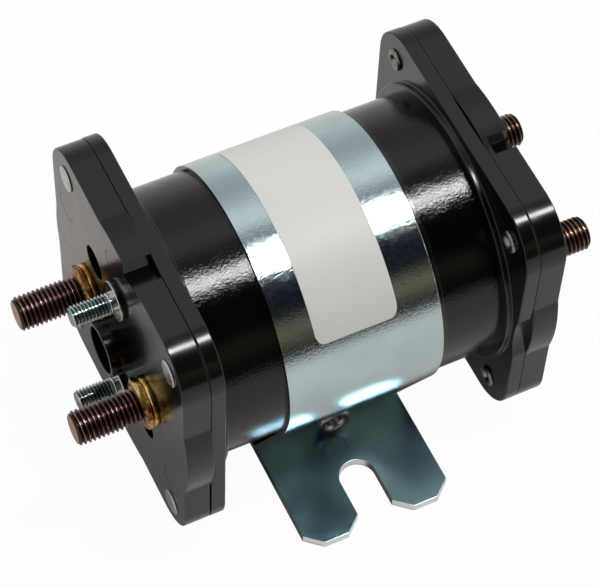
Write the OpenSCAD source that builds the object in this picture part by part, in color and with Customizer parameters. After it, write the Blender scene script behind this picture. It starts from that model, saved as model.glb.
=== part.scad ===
// Two-ended solenoid relay: a round steel can between two square moulded ends,
// strapped down on a slotted base plate. Millimetres, +Z up.
// X runs along the can, with the coil terminals at the -X end.
// The origin is under the can's centre, on the underside of the base plate.

/* [Can and strap] */
// Outside diameter of the steel can
can_d = 61.46; // [56:0.02:66]
// Wall of the can
can_wall = 1.0; // [0.8:0.1:1.6]
// Length of the can between the end mouldings
can_len = 69.6; // [66:0.2:76]
// Thickness of the dark liner under the strap
liner_t = 0.2; // [0.1:0.05:0.4]
// Thickness of the strap
strap_t = 0.82; // [0.6:0.02:1.2]
// Width of the strap along the can
strap_w = 37.0; // [30:0.5:40]
// Distance between the strap's legs where they meet the base plate
strap_foot_w = 30.4; // [24:0.2:36]

/* [Base plate] */
// Height of the can's axis over the top of the base plate
axis_over_plate = 41.0; // [39:0.2:46]
// Thickness of the base plate
plate_t = 2.4; // [2:0.1:3.2]
// Length of the base plate, across the can
plate_len = 87.8; // [80:0.2:100]
// How far the base plate's long edges lie inside the strap's
plate_inset = 0.2; // [0:0.1:2]
// Width of the open mounting slots
slot_w = 8.7; // [7:0.1:10]
// Depth of each slot from the plate's end
slot_depth = 16.7; // [14:0.1:19]
// Cut of the prong corners along the end edge
prong_cut = 4.0; // [3:0.1:4.6]

/* [End mouldings] */
// Side of the square outer housings
end_side = 68.2; // [66:0.2:72]
// Side of the square inner plates
inner_side = 69.8; // [68:0.2:72]
// Corner radius of the end mouldings
end_corner_r = 11.5; // [8:0.5:13]
// Radius of the rounded bulge of the outer housings
bulge_r = 36.1; // [35:0.1:37.4]
// Thickness of each inner plate
inner_plate_t = 3.4; // [3:0.1:4]
// Thickness of each outer housing
housing_t = 6.3; // [6:0.1:7]
// Width of the notch in a housing's edge
notch_w = 6.5; // [5:0.1:8]
// Radius of the centre boss on a housing
boss_r = 6.5; // [6:0.1:7]
// Height of the centre boss
boss_h = 4.7; // [3:0.1:6]
// Radius of the blind hole in the boss
boss_hole_r = 5.5; // [4.6:0.1:5.7]
// Diameter of the two blind vent holes in a housing
vent_d = 8.1; // [6:0.1:9]
// Distance of the corner rivets from the axis planes
rivet_pos = 27.0; // [26:0.1:27.6]
// Radius of a rivet's formed head
rivet_head_r = 3.1; // [2.6:0.1:3.4]

/* [Terminals] */
// Distance between the two main studs of one end
main_pitch = 32.0; // [30:0.2:34]
// Diameter of the main studs
main_d = 7.94; // [7:0.02:8.4]
// Length of a main stud outside the housing
main_len = 17.9; // [15:0.1:21]
// Distance between the two coil studs
coil_pitch = 34.0; // [33:0.2:36]
// Diameter of the coil studs
coil_d = 4.82; // [4:0.02:5]
// Length of a coil stud outside the housing
coil_len = 11.0; // [9:0.1:14]
// Width across the flats of the main jam nuts
jam_flats = 11.1; // [10.6:0.1:12]
// Thickness of the main jam nuts
jam_t = 1.8; // [1.5:0.1:2.5]

/* [Motion] */
// Travel of the plunger
travel = 3.0; // [2:0.1:3.2]
// Part of the travel in which a bridge bar lags behind the rod
lag = 0.6; // [0.3:0.1:0.8]
// Radial running clearance of sliding pieces
run_gap = 0.06; // [0.03:0.01:0.1]
// Gap left between contact faces that close
touch_gap = 0.03; // [0.02:0.01:0.1]

/* [Hidden] */

// How far cutting shapes run past a face, and how far joined shapes overlap
past = 1;
join = 0.1;

// The can and what is around it
axis_h = axis_over_plate + plate_t;
can_r = can_d / 2;
bore_r = can_r - can_wall;
half_can = can_len / 2;
liner_r = can_r + liner_t;
liner_end = 1.3;
liner_inset = 0.3;
liner_gap_deg = 3;
liner_seam_deg = 44;
strap_r = liner_r + strap_t;

// Tangent legs of the strap: their outward normal is leg_deg from straight up
foot_y = strap_foot_w / 2;
foot_reach = norm([foot_y, axis_over_plate]);
leg_deg = 180 - atan(foot_y / axis_over_plate) - acos(strap_r / foot_reach);
leg_n = [sin(leg_deg), cos(leg_deg)];
function leg_y(r, z) = (r - leg_n[1] * z) / leg_n[0];

// Cross rivet through both legs of the strap
cross_z = -35.7;
cross_tube_r = 2.6;
cross_bore_r = 1.9;
cross_head_r = 4.15;
cross_head_t = 1.7;
cross_face_y = leg_y(strap_r, cross_z) + cross_head_t;
cross_seat_gap = 0.02;
cross_roll_deep = 0.9;
cross_lip = 1;

// Base plate and its flush rivets
plate_w = strap_w - 2 * plate_inset;
slot_r = slot_w / 2;
slot_y = plate_len / 2 - slot_depth + slot_r;
prong_cut_deep = 3.5;
plate_rivet_x = 11;
plate_rivet_r = 2;
plate_rivet_head_r = 3.6;
plate_rivet_head_t = 0.9;

// Label on the strap, between two angles from straight up
label_t = 0.12;
label_w = 19.4;
label_x = -0.9;
label_from_deg = -49;
label_to_deg = 60.5;
label_corner = 1.9;

// Stations along X, measured outward from the can's centre
x_seam = half_can + inner_plate_t;
x_face = x_seam + housing_t;
chamber_roof = 3.2;
x_roof = x_face - chamber_roof;
chamber_r = 25.5;
cup_wall = 2;
cup_deep = 7;
x_cup = half_can - cup_deep;
x_web = x_cup - cup_wall;
cup_fit = 0.1;
cup_r = bore_r - cup_fit;
rod_hole_r = 4;
collar_h = 1.4;
collar_top_r = 33.0;
collar_base_r = 33.7;
vent_y = 13.1;
vent_z = 13.5;
vent_deep = 5;
vent_wall = 1.6;
boss_sink = 1.9;
boss_deep = boss_h + boss_sink;
notch_y = 6.75;
notch_deep = 5.1;
notch_floor = bulge_r - notch_deep;
notch_cut = notch_deep + past;

// Corner rivets
rivet_r = 1.7;
rivet_head_t = 0.45;
rivet_tail_r = 2.7;
rivet_tail_t = 1.1;
rivet_bore_r = 1.3;
rivet_bore_deep = 3;

// Terminals
main_r = main_d / 2;
main_thread_pitch = 1.058;
coil_thread_pitch = 0.794;
// Where a stud is held in a nut or a moulding, both meet on the pitch line
pitch_line = 0.325;
main_bound_r = main_r - pitch_line * main_thread_pitch;
main_y = main_pitch / 2;
contact_t = 3;
contact_r = 6.4;
x_contact = x_roof - contact_t;
stud_chamfer = 0.8;
jam_clear = 0.02;
jam_turn = 50;
nut_washer_r = 6.2;
nut_washer_t = 1.2;
nut_washer_bore = main_r + 0.3;
x_nut = x_face + nut_washer_t;
x_lug = x_nut + jam_t;
coil_r = coil_d / 2;
coil_bound_r = coil_r - pitch_line * coil_thread_pitch;
coil_z = coil_pitch / 2;
coil_head_r = 3.6;
coil_head_t = 1.4;
insulator_r = 3.9;
insulator_t = 0.6;
washer_r = 4.7;
washer_t = 0.55;
x_washer = x_face + insulator_t + washer_t;
lead_r = 0.7;
lead_gap = 0.3;

// Magnet
flux_t = 2.5;
pole_flange_t = 1.5;
pole_flange_lip = 2;
pole_collar_len = 4;
pole_gap = 0.1;
flux_out = x_web - pole_flange_t - pole_gap;
flux_in = flux_out - flux_t;
cheek_t = 1.5;
bobbin_gap = 1.6;
bobbin_r = cup_r - bobbin_gap;
spool_r = 11;
plunger_r = 9;
guide_r = plunger_r + run_gap;
guide_wall = 0.4;
guide_out_r = guide_r + guide_wall;
winding_r = 24.4;
tape_t = 0.5;
rod_r = 2.5;
bush_bore_r = rod_r + run_gap;
pole_face = -2;
plunger_face = pole_face + travel + touch_gap;
plunger_short = 0.4;
plunger_end = flux_in - plunger_short;
pocket_r = 5.6;
pocket_deep = 6;
plunger_pocket_deep = 5;

// Rod, bridges and clips, on the same outward stations
bridge_t = 2;
bridge_len = 44;
bridge_w = 13;
bush_hub_r = 3.8;
bush_flange_r = 5.6;
bush_flange_t = 1;
gap_open = travel - lag;
x_far_bridge = x_contact - touch_gap;
x_near_bridge = x_contact - touch_gap - gap_open;
x_far_bush = x_far_bridge + bush_flange_t;
x_near_bush = x_near_bridge + bush_flange_t;
bush_len = bridge_t + 2 * bush_flange_t;
clip_t = 0.8;
clip_r = 4.3;
seat_r = 5.4;
x_near_clip = x_near_bush + touch_gap;
x_far_clip = x_far_bush + lag + touch_gap;
seat_gap = 0.3;
x_near_seat = x_cup + seat_gap;
x_far_seat = x_cup + travel + seat_gap;
rod_over = 0.3;
rod_near = x_near_clip + clip_t + rod_over;
rod_far = x_far_clip + clip_t + rod_over;
return_wire_r = 0.45;
contact_wire_r = 0.35;
inner_spring_r = 4.3;
return_turns = 7;
near_turns = 3;
far_turns = 2;
spring_sides = 10;
spring_steps = 16;

module on_axis() {
    translate([0, 0, axis_h]) children();
}

// A cylinder along X between two stations
module rod_x(x0, x1, r, y = 0, z = 0) {
    translate([min(x0, x1), y, z])
        rotate([0, 90, 0])
            cylinder(h = abs(x1 - x0), r = r, $fn = 96);
}

module ring_x(x0, x1, r_out, r_in, y = 0, z = 0) {
    difference() {
        rod_x(x0, x1, r_out, y, z);
        rod_x(min(x0, x1) - past, max(x0, x1) + past, r_in, y, z);
    }
}

// A cone along X, from radius r0 at x0 to r1 at x1 (x0 below x1)
module cone_x(x0, x1, r0, r1, y = 0, z = 0) {
    translate([x0, y, z])
        rotate([0, 90, 0])
            cylinder(h = x1 - x0, r1 = r0, r2 = r1, $fn = 96);
}

// Extrudes a profile drawn as [y, z] along X between two stations
module along_x(x0, x1) {
    translate([x0, 0, 0])
        rotate([90, 0, 90])
            linear_extrude(height = x1 - x0)
                children();
}

module rounded_oblong(w, h, r) {
    square([w, h - 2 * r], center = true);
    square([w - 2 * r, h], center = true);
    for (sx = [-1, 1], sy = [-1, 1])
        translate([sx * (w / 2 - r), sy * (h / 2 - r)])
            circle(r = r, $fn = 96);
}

module corner_spots() {
    for (sy = [-1, 1], sz = [-1, 1])
        translate([0, sy * rivet_pos, sz * rivet_pos])
            children();
}

// Can, liner, strap and label

module can() {
    color([0.07, 0.07, 0.075])
        on_axis() ring_x(-half_can, half_can, can_r, bore_r);
}

module liner() {
    color([0.05, 0.05, 0.05])
        on_axis()
            difference() {
                ring_x(liner_inset - strap_w / 2, strap_w / 2 + liner_end, liner_r, can_r);
                rotate([-liner_seam_deg, 0, 0])
                    translate([-half_can, -liner_r * sin(liner_gap_deg), 0])
                        cube([can_len, 2 * liner_r * sin(liner_gap_deg), 2 * can_r]);
            }
}

// The closed outline of the strap: a circle and the trapezium of its legs
module strap_outline(r, z_foot) {
    circle(r = r, $fn = 180);
    polygon([
        [r * leg_n[0], r * leg_n[1]],
        [leg_y(r, z_foot), z_foot],
        [-leg_y(r, z_foot), z_foot],
        [-r * leg_n[0], r * leg_n[1]]
    ]);
}

module strap() {
    color([0.72, 0.76, 0.78])
        on_axis()
            difference() {
                along_x(-strap_w / 2, strap_w / 2)
                    difference() {
                        strap_outline(strap_r, -axis_over_plate);
                        strap_outline(liner_r, strap_t - axis_over_plate);
                    }
                cross_cut(cross_tube_r);
                for (s = [-1, 1])
                    translate([0, s * (cross_face_y - cross_head_t / 2), cross_z])
                        rotate([90, 0, 0])
                            cylinder(
                                h = cross_head_t + cross_seat_gap,
                                r = cross_head_r,
                                center = true,
                                $fn = 96
                            );
                plate_rivet_spots()
                    cylinder(h = 2 * (strap_t + past), r = plate_rivet_r, center = true, $fn = 48);
            }
}

module cross_cut(r) {
    translate([0, 0, cross_z])
        rotate([90, 0, 0])
            cylinder(h = 2 * (cross_face_y + past), r = r, center = true, $fn = 96);
}

module plate_rivet_spots() {
    for (s = [-1, 1])
        translate([s * plate_rivet_x, 0, -axis_over_plate])
            children();
}

module base_plate() {
    color([0.62, 0.67, 0.7])
        difference() {
            linear_extrude(height = plate_t)
                difference() {
                    square([plate_w, plate_len], center = true);
                    for (s = [-1, 1]) end_cuts(s);
                }
            for (s = [-1, 1])
                translate([s * plate_rivet_x, 0, 0]) {
                    translate([0, 0, -past])
                        cylinder(h = plate_t + 2 * past, r = plate_rivet_r, $fn = 48);
                    translate([0, 0, -past])
                        cylinder(h = plate_rivet_head_t + past, r = plate_rivet_head_r, $fn = 48);
                }
        }
}

// Slot and corner cuts of the plate's end on the side s
module end_cuts(s) {
    end_y = s * plate_len / 2;
    translate([0, s * slot_y]) circle(r = slot_r, $fn = 96);
    polygon([[-slot_r, s * slot_y], [-slot_r, 2 * end_y], [slot_r, 2 * end_y], [slot_r, s * slot_y]]);
    for (x = [-1, 1]) {
        edge_x = x * plate_w / 2;
        polygon([
            [edge_x, end_y - s * prong_cut_deep],
            [edge_x - x * prong_cut, end_y],
            [edge_x, end_y + s * past],
            [edge_x + x * past, end_y],
            [edge_x + x * past, end_y - s * prong_cut_deep]
        ]);
        polygon([
            [x * slot_r, end_y - s * prong_cut_deep],
            [x * (slot_r + prong_cut), end_y],
            [x * slot_r, end_y + s * past],
            [0, end_y - s * prong_cut_deep]
        ]);
    }
}

module plate_rivets() {
    color([0.6, 0.62, 0.63])
        for (s = [-1, 1])
            translate([s * plate_rivet_x, 0, 0]) {
                cylinder(h = plate_t + strap_t, r = plate_rivet_r, $fn = 48);
                cylinder(h = plate_rivet_head_t, r = plate_rivet_head_r, $fn = 48);
                translate([0, 0, plate_t + strap_t])
                    cylinder(h = plate_rivet_head_t, r = plate_rivet_head_r, $fn = 48);
            }
}

// Tubular rivet across the strap's legs, with a rolled head at each end
module cross_rivet() {
    color([0.55, 0.53, 0.5])
        on_axis()
            translate([0, 0, cross_z])
                rotate([90, 0, 0])
                    difference() {
                        union() {
                            cylinder(
                                h = 2 * cross_face_y - cross_head_t,
                                r = cross_tube_r,
                                center = true,
                                $fn = 96
                            );
                            for (s = [-1, 1])
                                translate([0, 0, s * (cross_face_y - cross_head_t / 2)])
                                    cylinder(h = cross_head_t, r = cross_head_r, center = true, $fn = 96);
                        }
                        cylinder(h = 2 * (cross_face_y + past), r = cross_bore_r, center = true, $fn = 96);
                        for (s = [-1, 1])
                            translate([0, 0, s * cross_face_y])
                                rotate([s > 0 ? 0 : 180, 0, 0])
                                    translate([0, 0, -cross_roll_deep])
                                        cylinder(
                                            h = cross_roll_deep + join,
                                            r1 = cross_bore_r,
                                            r2 = cross_head_r - cross_lip,
                                            $fn = 96
                                        );
                    }
}

// A thin plate bent onto the strap, trimmed to a rounded oblong as seen square on
module label() {
    half_deg = (label_to_deg - label_from_deg) / 2;
    mid_deg = (label_to_deg + label_from_deg) / 2;
    color([0.85, 0.85, 0.83])
        on_axis()
            rotate([mid_deg, 0, 0])
                intersection() {
                    ring_x(label_x - label_w / 2, label_x + label_w / 2, strap_r + label_t, strap_r);
                    linear_extrude(height = 2 * strap_r)
                        translate([label_x, 0])
                            rounded_oblong(label_w, 2 * strap_r * sin(half_deg), label_corner);
                }
}

// End mouldings, drawn for the far end and mirrored for the near one

module inner_plate() {
    on_axis()
        difference() {
            union() {
                along_x(half_can, x_seam) rounded_oblong(inner_side, inner_side, end_corner_r);
                cone_x(half_can - collar_h, half_can + join, collar_top_r, collar_base_r);
                rod_x(x_web, half_can + join, cup_r);
            }
            ring_x(half_can - collar_h - past, half_can, can_r, cup_r);
            rod_x(x_cup, x_seam + past, chamber_r);
            rod_x(x_web - past, x_cup + past, rod_hole_r);
            corner_spots() rod_x(half_can - past, x_seam + past, rivet_r);
        }
}

module lead_holes() {
    on_axis()
        for (s = [-1, 1])
            rod_x(-x_seam, -flux_in + cheek_t + past, lead_r + lead_gap, 0, s * coil_z);
}

module near_inner_plate() {
    color([0.06, 0.06, 0.065])
        difference() {
            mirror([1, 0, 0]) inner_plate();
            lead_holes();
        }
}

module far_inner_plate() {
    color([0.06, 0.06, 0.065]) inner_plate();
}

module housing_outline() {
    difference() {
        union() {
            rounded_oblong(end_side, end_side, end_corner_r);
            circle(r = bulge_r, $fn = 180);
        }
        for (s = [-1, 1])
            translate([-s * notch_y, s * (notch_floor + notch_cut / 2)])
                square([notch_w, notch_cut], center = true);
    }
}

module housing() {
    on_axis()
        difference() {
            union() {
                difference() {
                    along_x(x_seam, x_face) housing_outline();
                    rod_x(x_seam - past, x_roof, chamber_r);
                }
                rod_x(x_face - past, x_face + boss_h, boss_r);
                for (s = [-1, 1])
                    translate([0, s * vent_y, s * vent_z])
                        rod_x(x_face - vent_deep - vent_wall, x_face - past, vent_d / 2 + vent_wall);
            }
            rod_x(x_face + boss_h - boss_deep, x_face + boss_h + past, boss_hole_r);
            for (s = [-1, 1]) {
                rod_x(x_face - vent_deep, x_face + past, vent_d / 2, s * vent_y, s * vent_z);
                rod_x(x_seam, x_face + past, main_bound_r, s * main_y, 0);
            }
            corner_spots() rod_x(x_seam - past, x_face + past, rivet_r);
        }
}

module near_housing() {
    color([0.06, 0.06, 0.065])
        difference() {
            mirror([1, 0, 0]) housing();
            on_axis()
                for (s = [-1, 1])
                    rod_x(-x_face - past, -x_seam, coil_bound_r, 0, s * coil_z);
        }
}

module far_housing() {
    color([0.06, 0.06, 0.065]) housing();
}

module end_rivets() {
    on_axis()
        corner_spots()
            difference() {
                union() {
                    rod_x(half_can - rivet_tail_t, x_face + join, rivet_r);
                    rod_x(x_face, x_face + rivet_head_t, rivet_head_r);
                    rod_x(half_can - rivet_tail_t, half_can, rivet_tail_r);
                }
                translate([half_can - rivet_tail_t, 0, 0])
                    rod_x(-past, rivet_bore_deep, rivet_bore_r);
            }
}

module near_rivets() {
    color([0.6, 0.6, 0.6]) mirror([1, 0, 0]) end_rivets();
}

module far_rivets() {
    color([0.6, 0.6, 0.6]) end_rivets();
}

// Terminals

// A stud held at radius r_bound as far as its seat, and at full radius from there
module stud(r, r_bound, x_root, x_seat, x_tip, y, z) {
    rod_x(x_root, x_seat + join, r_bound, y, z);
    rod_x(x_seat, x_tip - stud_chamfer, r, y, z);
    cone_x(x_tip - stud_chamfer, x_tip, r, r - stud_chamfer, y, z);
}

module main_studs() {
    on_axis()
        for (s = [-1, 1]) {
            rod_x(x_contact, x_roof, contact_r, s * main_y, 0);
            stud(main_r, main_bound_r, x_roof - join, x_lug, x_face + main_len, s * main_y, 0);
        }
}

module near_main_studs() {
    color([0.42, 0.3, 0.25]) mirror([1, 0, 0]) main_studs();
}

module far_main_studs() {
    color([0.42, 0.3, 0.25]) main_studs();
}

module jam_nuts() {
    on_axis()
        for (s = [-1, 1])
            difference() {
                translate([x_nut, s * main_y, 0])
                    rotate([jam_turn, 0, 0])
                        rotate([0, 90, 0])
                            cylinder(h = jam_t, r = jam_flats / sqrt(3), $fn = 6);
                rod_x(x_nut - past, x_lug + past, main_bound_r + jam_clear, s * main_y, 0);
            }
}

module near_jam_nuts() {
    color([0.6, 0.42, 0.2]) mirror([1, 0, 0]) jam_nuts();
}

module far_jam_nuts() {
    color([0.6, 0.42, 0.2]) jam_nuts();
}

module nut_washers() {
    on_axis()
        for (s = [-1, 1])
            ring_x(x_face, x_nut, nut_washer_r, nut_washer_bore, s * main_y, 0);
}

module near_nut_washers() {
    color([0.55, 0.38, 0.18]) mirror([1, 0, 0]) nut_washers();
}

module far_nut_washers() {
    color([0.55, 0.38, 0.18]) nut_washers();
}

module coil_studs() {
    color([0.65, 0.69, 0.7])
        mirror([1, 0, 0])
            on_axis()
                for (s = [-1, 1]) {
                    rod_x(x_roof - coil_head_t, x_roof, coil_head_r, 0, s * coil_z);
                    stud(coil_r, coil_bound_r, x_roof - join, x_washer, x_face + coil_len, 0, s * coil_z);
                }
}

module coil_insulators() {
    color([0.12, 0.1, 0.09])
        mirror([1, 0, 0])
            on_axis()
                for (s = [-1, 1])
                    ring_x(x_face, x_face + insulator_t, insulator_r, coil_bound_r, 0, s * coil_z);
}

module coil_washers() {
    color([0.68, 0.7, 0.7])
        mirror([1, 0, 0])
            on_axis()
                for (s = [-1, 1])
                    translate([x_face + insulator_t, 0, s * coil_z])
                        ring_x(0, washer_t, washer_r, coil_bound_r);
}

// Magnet inside the can

module coil_leads() {
    color([0.6, 0.35, 0.2])
        on_axis()
            for (s = [-1, 1])
                rod_x(-x_roof + coil_head_t, -flux_in + cheek_t, lead_r, 0, s * coil_z);
}

module bobbin() {
    color([0.8, 0.78, 0.7])
        difference() {
            on_axis()
                difference() {
                    union() {
                        rod_x(-flux_in, flux_in, spool_r);
                        for (s = [-1, 1])
                            rod_x(s * flux_in, s * (flux_in - cheek_t), bobbin_r);
                    }
                    rod_x(-flux_in - past, flux_in + past, guide_out_r);
                }
            lead_holes();
        }
}

module winding() {
    color([0.6, 0.35, 0.2])
        on_axis() ring_x(-flux_in + cheek_t, flux_in - cheek_t, winding_r, spool_r);
}

module winding_tape() {
    color([0.75, 0.68, 0.3])
        on_axis() ring_x(-flux_in + cheek_t, flux_in - cheek_t, winding_r + tape_t, winding_r);
}

module flux_washers() {
    color([0.5, 0.5, 0.5])
        difference() {
            on_axis() {
                ring_x(-flux_out, -flux_in, bore_r, plunger_r);
                ring_x(flux_in, flux_out, bore_r, guide_out_r);
            }
            lead_holes();
        }
}

module guide_tube() {
    color([0.7, 0.55, 0.3])
        on_axis() ring_x(-flux_in, flux_out, guide_out_r, guide_r);
}

module pole_piece() {
    color([0.5, 0.5, 0.5])
        on_axis()
            difference() {
                union() {
                    rod_x(-flux_out - pole_flange_t, pole_face, plunger_r);
                    rod_x(-flux_out - pole_flange_t, -flux_out, plunger_r + pole_flange_lip);
                    rod_x(-flux_in, -flux_in + pole_collar_len, guide_r);
                }
                rod_x(-flux_out - pole_flange_t - past, pole_face + past, bush_bore_r);
                rod_x(pole_face - pocket_deep, pole_face + past, pocket_r);
            }
}

module plunger() {
    color([0.55, 0.55, 0.56])
        on_axis()
            difference() {
                rod_x(plunger_face, plunger_end, plunger_r);
                rod_x(plunger_face - past, plunger_end + past, rod_r);
                rod_x(plunger_face - past, plunger_face + plunger_pocket_deep, pocket_r);
            }
}

module rod() {
    color([0.7, 0.6, 0.35])
        on_axis() rod_x(-rod_near, rod_far, rod_r);
}

module rod_clips() {
    color([0.4, 0.4, 0.42])
        on_axis() {
            ring_x(-x_near_clip - clip_t, -x_near_clip, clip_r, rod_r);
            ring_x(x_far_clip, x_far_clip + clip_t, clip_r, rod_r);
            ring_x(-x_near_seat - clip_t, -x_near_seat, seat_r, rod_r);
            ring_x(x_far_seat, x_far_seat + clip_t, seat_r, rod_r);
        }
}

module bridge() {
    difference() {
        along_x(0, bridge_t)
            intersection() {
                square([bridge_len, bridge_w], center = true);
                circle(r = bridge_len / 2, $fn = 180);
            }
        rod_x(-past, bridge_t + past, bush_hub_r);
    }
}

module near_bridge() {
    color([0.75, 0.45, 0.3]) on_axis() translate([-x_near_bridge, 0, 0]) bridge();
}

module far_bridge() {
    color([0.75, 0.45, 0.3]) on_axis() translate([x_far_bridge - bridge_t, 0, 0]) bridge();
}

// Insulating bush, from its inboard face
module bush() {
    difference() {
        union() {
            rod_x(0, bush_flange_t, bush_flange_r);
            rod_x(0, bush_len, bush_hub_r);
            rod_x(bush_len - bush_flange_t, bush_len, bush_flange_r);
        }
        rod_x(-past, bush_len + past, bush_bore_r);
    }
}

module near_bush() {
    color([0.5, 0.2, 0.15]) on_axis() translate([-x_near_bush, 0, 0]) bush();
}

module far_bush() {
    color([0.5, 0.2, 0.15]) on_axis() translate([x_far_bush - bush_len, 0, 0]) bush();
}

// A coil spring along X between two stations. The profile is a cut across the
// coiled wire, a crescent that spans the angle the wire turns through in it.
module spring_x(x0, x1, coil_radius, wire_r, turns) {
    pitch = (x1 - x0 - 2 * wire_r) / turns;
    crescent = [
        for (i = [0 : spring_sides - 1])
            let (a = i * 360 / spring_sides)
            let (reach = coil_radius + wire_r * cos(a))
            let (swing = wire_r * sin(a) / pitch * 360)
            [reach * cos(swing), reach * sin(swing)]
    ];
    translate([x0 + wire_r, 0, 0])
        rotate([0, 90, 0])
            linear_extrude(height = pitch * turns, twist = -360 * turns, slices = spring_steps * turns)
                polygon(crescent);
}

module return_spring() {
    color([0.6, 0.6, 0.62])
        on_axis()
            spring_x(
                pole_face - pocket_deep,
                plunger_face + plunger_pocket_deep,
                inner_spring_r,
                return_wire_r,
                return_turns
            );
}

module near_contact_spring() {
    color([0.6, 0.6, 0.62])
        on_axis()
            spring_x(
                bush_len - x_near_bush,
                -x_near_seat - clip_t,
                inner_spring_r,
                contact_wire_r,
                near_turns
            );
}

module far_contact_spring() {
    color([0.6, 0.6, 0.62])
        on_axis()
            spring_x(
                x_far_seat + clip_t,
                x_far_bush - bush_len,
                inner_spring_r,
                contact_wire_r,
                far_turns
            );
}

can();
liner();
strap();
base_plate();
plate_rivets();
cross_rivet();
label();
near_inner_plate();
far_inner_plate();
near_housing();
far_housing();
near_rivets();
far_rivets();
near_main_studs();
far_main_studs();
near_jam_nuts();
far_jam_nuts();
near_nut_washers();
far_nut_washers();
coil_studs();
coil_insulators();
coil_washers();
coil_leads();
bobbin();
winding();
winding_tape();
flux_washers();
guide_tube();
pole_piece();
plunger();
rod();
rod_clips();
return_spring();
near_bridge();
far_bridge();
near_bush();
far_bush();
near_contact_spring();
far_contact_spring();
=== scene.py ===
import math

import bpy
from mathutils import Matrix, Vector


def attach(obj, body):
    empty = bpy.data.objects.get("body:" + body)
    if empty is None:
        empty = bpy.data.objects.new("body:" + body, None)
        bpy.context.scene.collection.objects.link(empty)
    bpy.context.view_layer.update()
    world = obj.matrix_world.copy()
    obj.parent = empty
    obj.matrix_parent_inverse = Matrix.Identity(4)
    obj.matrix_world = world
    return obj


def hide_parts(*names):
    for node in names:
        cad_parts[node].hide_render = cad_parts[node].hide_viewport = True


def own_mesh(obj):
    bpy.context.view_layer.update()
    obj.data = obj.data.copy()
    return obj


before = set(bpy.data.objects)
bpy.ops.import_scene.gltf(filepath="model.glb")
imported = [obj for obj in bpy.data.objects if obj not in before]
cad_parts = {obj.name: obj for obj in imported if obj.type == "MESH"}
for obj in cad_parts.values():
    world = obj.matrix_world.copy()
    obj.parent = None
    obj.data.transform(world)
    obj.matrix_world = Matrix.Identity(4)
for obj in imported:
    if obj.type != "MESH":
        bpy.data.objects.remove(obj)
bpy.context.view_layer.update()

# Everything is modelled in millimetres about the can's axis, and brought to the
# frame's metres, with the axis at its height over the panel, when it is finished.
MM = 0.001
AXIS_HEIGHT = 43.4

# The can, the liner on it and the strap round both
CAN_R = 30.73
CAN_WALL = 1.0
HALF_CAN = 34.8
LINER_R = 30.93
STRAP_R = 31.75
STRAP_T = 0.82
LEG_DEG = 116.22
CROSS_RIVET_Z = -35.7

# The base plate under the strap's foot
PLATE_TOP = -41.0
PLATE_T = 2.4
FOOT_Y = 15.2

# Levels along X, as for the far end; near pieces are turned or mirrored from there.
# They are the joint between the mouldings, the chamber's roof, the outer face, the tops
# of the discs and washers on the coil studs, both sides of the thin nuts, and the tips
# of the main studs.
SEAM_X = 38.2
ROOF_X = 41.3
FACE_X = 44.5
DISC_TOP = 45.1
WASHER_TOP = 45.65
NUT_LOW = FACE_X + 1.2
NUT_HIGH = FACE_X + 3.0
MAIN_TIP = 62.4

# The mouldings' chamber, corners and rims, and the holes through them
CHAMBER_R = 25.5
CORNER_R = 11.5
RIM = 0.32
MAIN_HOLE = 3.62
COIL_HOLE = 2.15
RIVET_HOLE = 1.7

# Where the studs and rivets stand, counted from the can's axis
MAIN_Y = 16.0
COIL_Z = 17.0
RIVET_AT = 27.0


# Modelling helpers

def pick_only(obj):
    """Leaves edit mode and selects this object alone, or nothing."""
    if bpy.context.object and bpy.context.object.mode != "OBJECT":
        bpy.ops.object.mode_set(mode="OBJECT")
    bpy.ops.object.select_all(action="DESELECT")
    if obj:
        obj.select_set(True)
        bpy.context.view_layer.objects.active = obj


def draw_path(points, closed=False):
    """A chain of edges, drawn by extruding one vertex from point to point."""
    pick_only(None)
    bpy.ops.mesh.primitive_plane_add(size=1, location=points[0])
    obj = bpy.context.object
    bpy.ops.object.mode_set(mode="EDIT")
    bpy.ops.mesh.select_all(action="SELECT")
    bpy.ops.mesh.merge(type="CENTER")
    stops = list(points) + ([points[0]] if closed else [])
    for a, b in zip(stops, stops[1:]):
        step = Vector(b) - Vector(a)
        bpy.ops.mesh.extrude_vertices_move(TRANSFORM_OT_translate={"value": step})
    bpy.ops.mesh.select_all(action="SELECT")
    bpy.ops.mesh.remove_doubles(threshold=0.001)
    return obj


def close_up():
    """Merges doubles, turns the faces outward and leaves edit mode."""
    bpy.ops.mesh.select_all(action="SELECT")
    bpy.ops.mesh.remove_doubles(threshold=0.002)
    bpy.ops.mesh.normals_make_consistent(inside=False)
    bpy.ops.object.mode_set(mode="OBJECT")
    bpy.ops.object.transform_apply(location=True, rotation=True, scale=True)


def slab(outline, push):
    """A closed outline filled and extruded by the vector push."""
    obj = draw_path(outline, closed=True)
    bpy.ops.mesh.edge_face_add()
    bpy.ops.mesh.extrude_region_move(TRANSFORM_OT_translate={"value": push})
    close_up()
    return obj


def turned(profile, steps=96, y=0.0, z=0.0, ring=False):
    """A profile of (x, radius) turned about the X axis, then set at y, z."""
    obj = draw_path([(x, 0, r) for x, r in profile], closed=ring)
    bpy.ops.mesh.spin(steps=steps, angle=2 * math.pi, center=(0, 0, 0), axis=(1, 0, 0))
    close_up()
    shift(obj, (0, y, z))
    return obj


def shift(obj, move):
    pick_only(obj)
    obj.location = move
    bpy.ops.object.transform_apply(location=True, rotation=False, scale=False)


def turn_round(obj, axis, degrees):
    obj.rotation_euler = (0, 0, 0)
    setattr(obj.rotation_euler, axis, math.radians(degrees))
    pick_only(obj)
    bpy.ops.object.transform_apply(location=False, rotation=True, scale=False)


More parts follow.
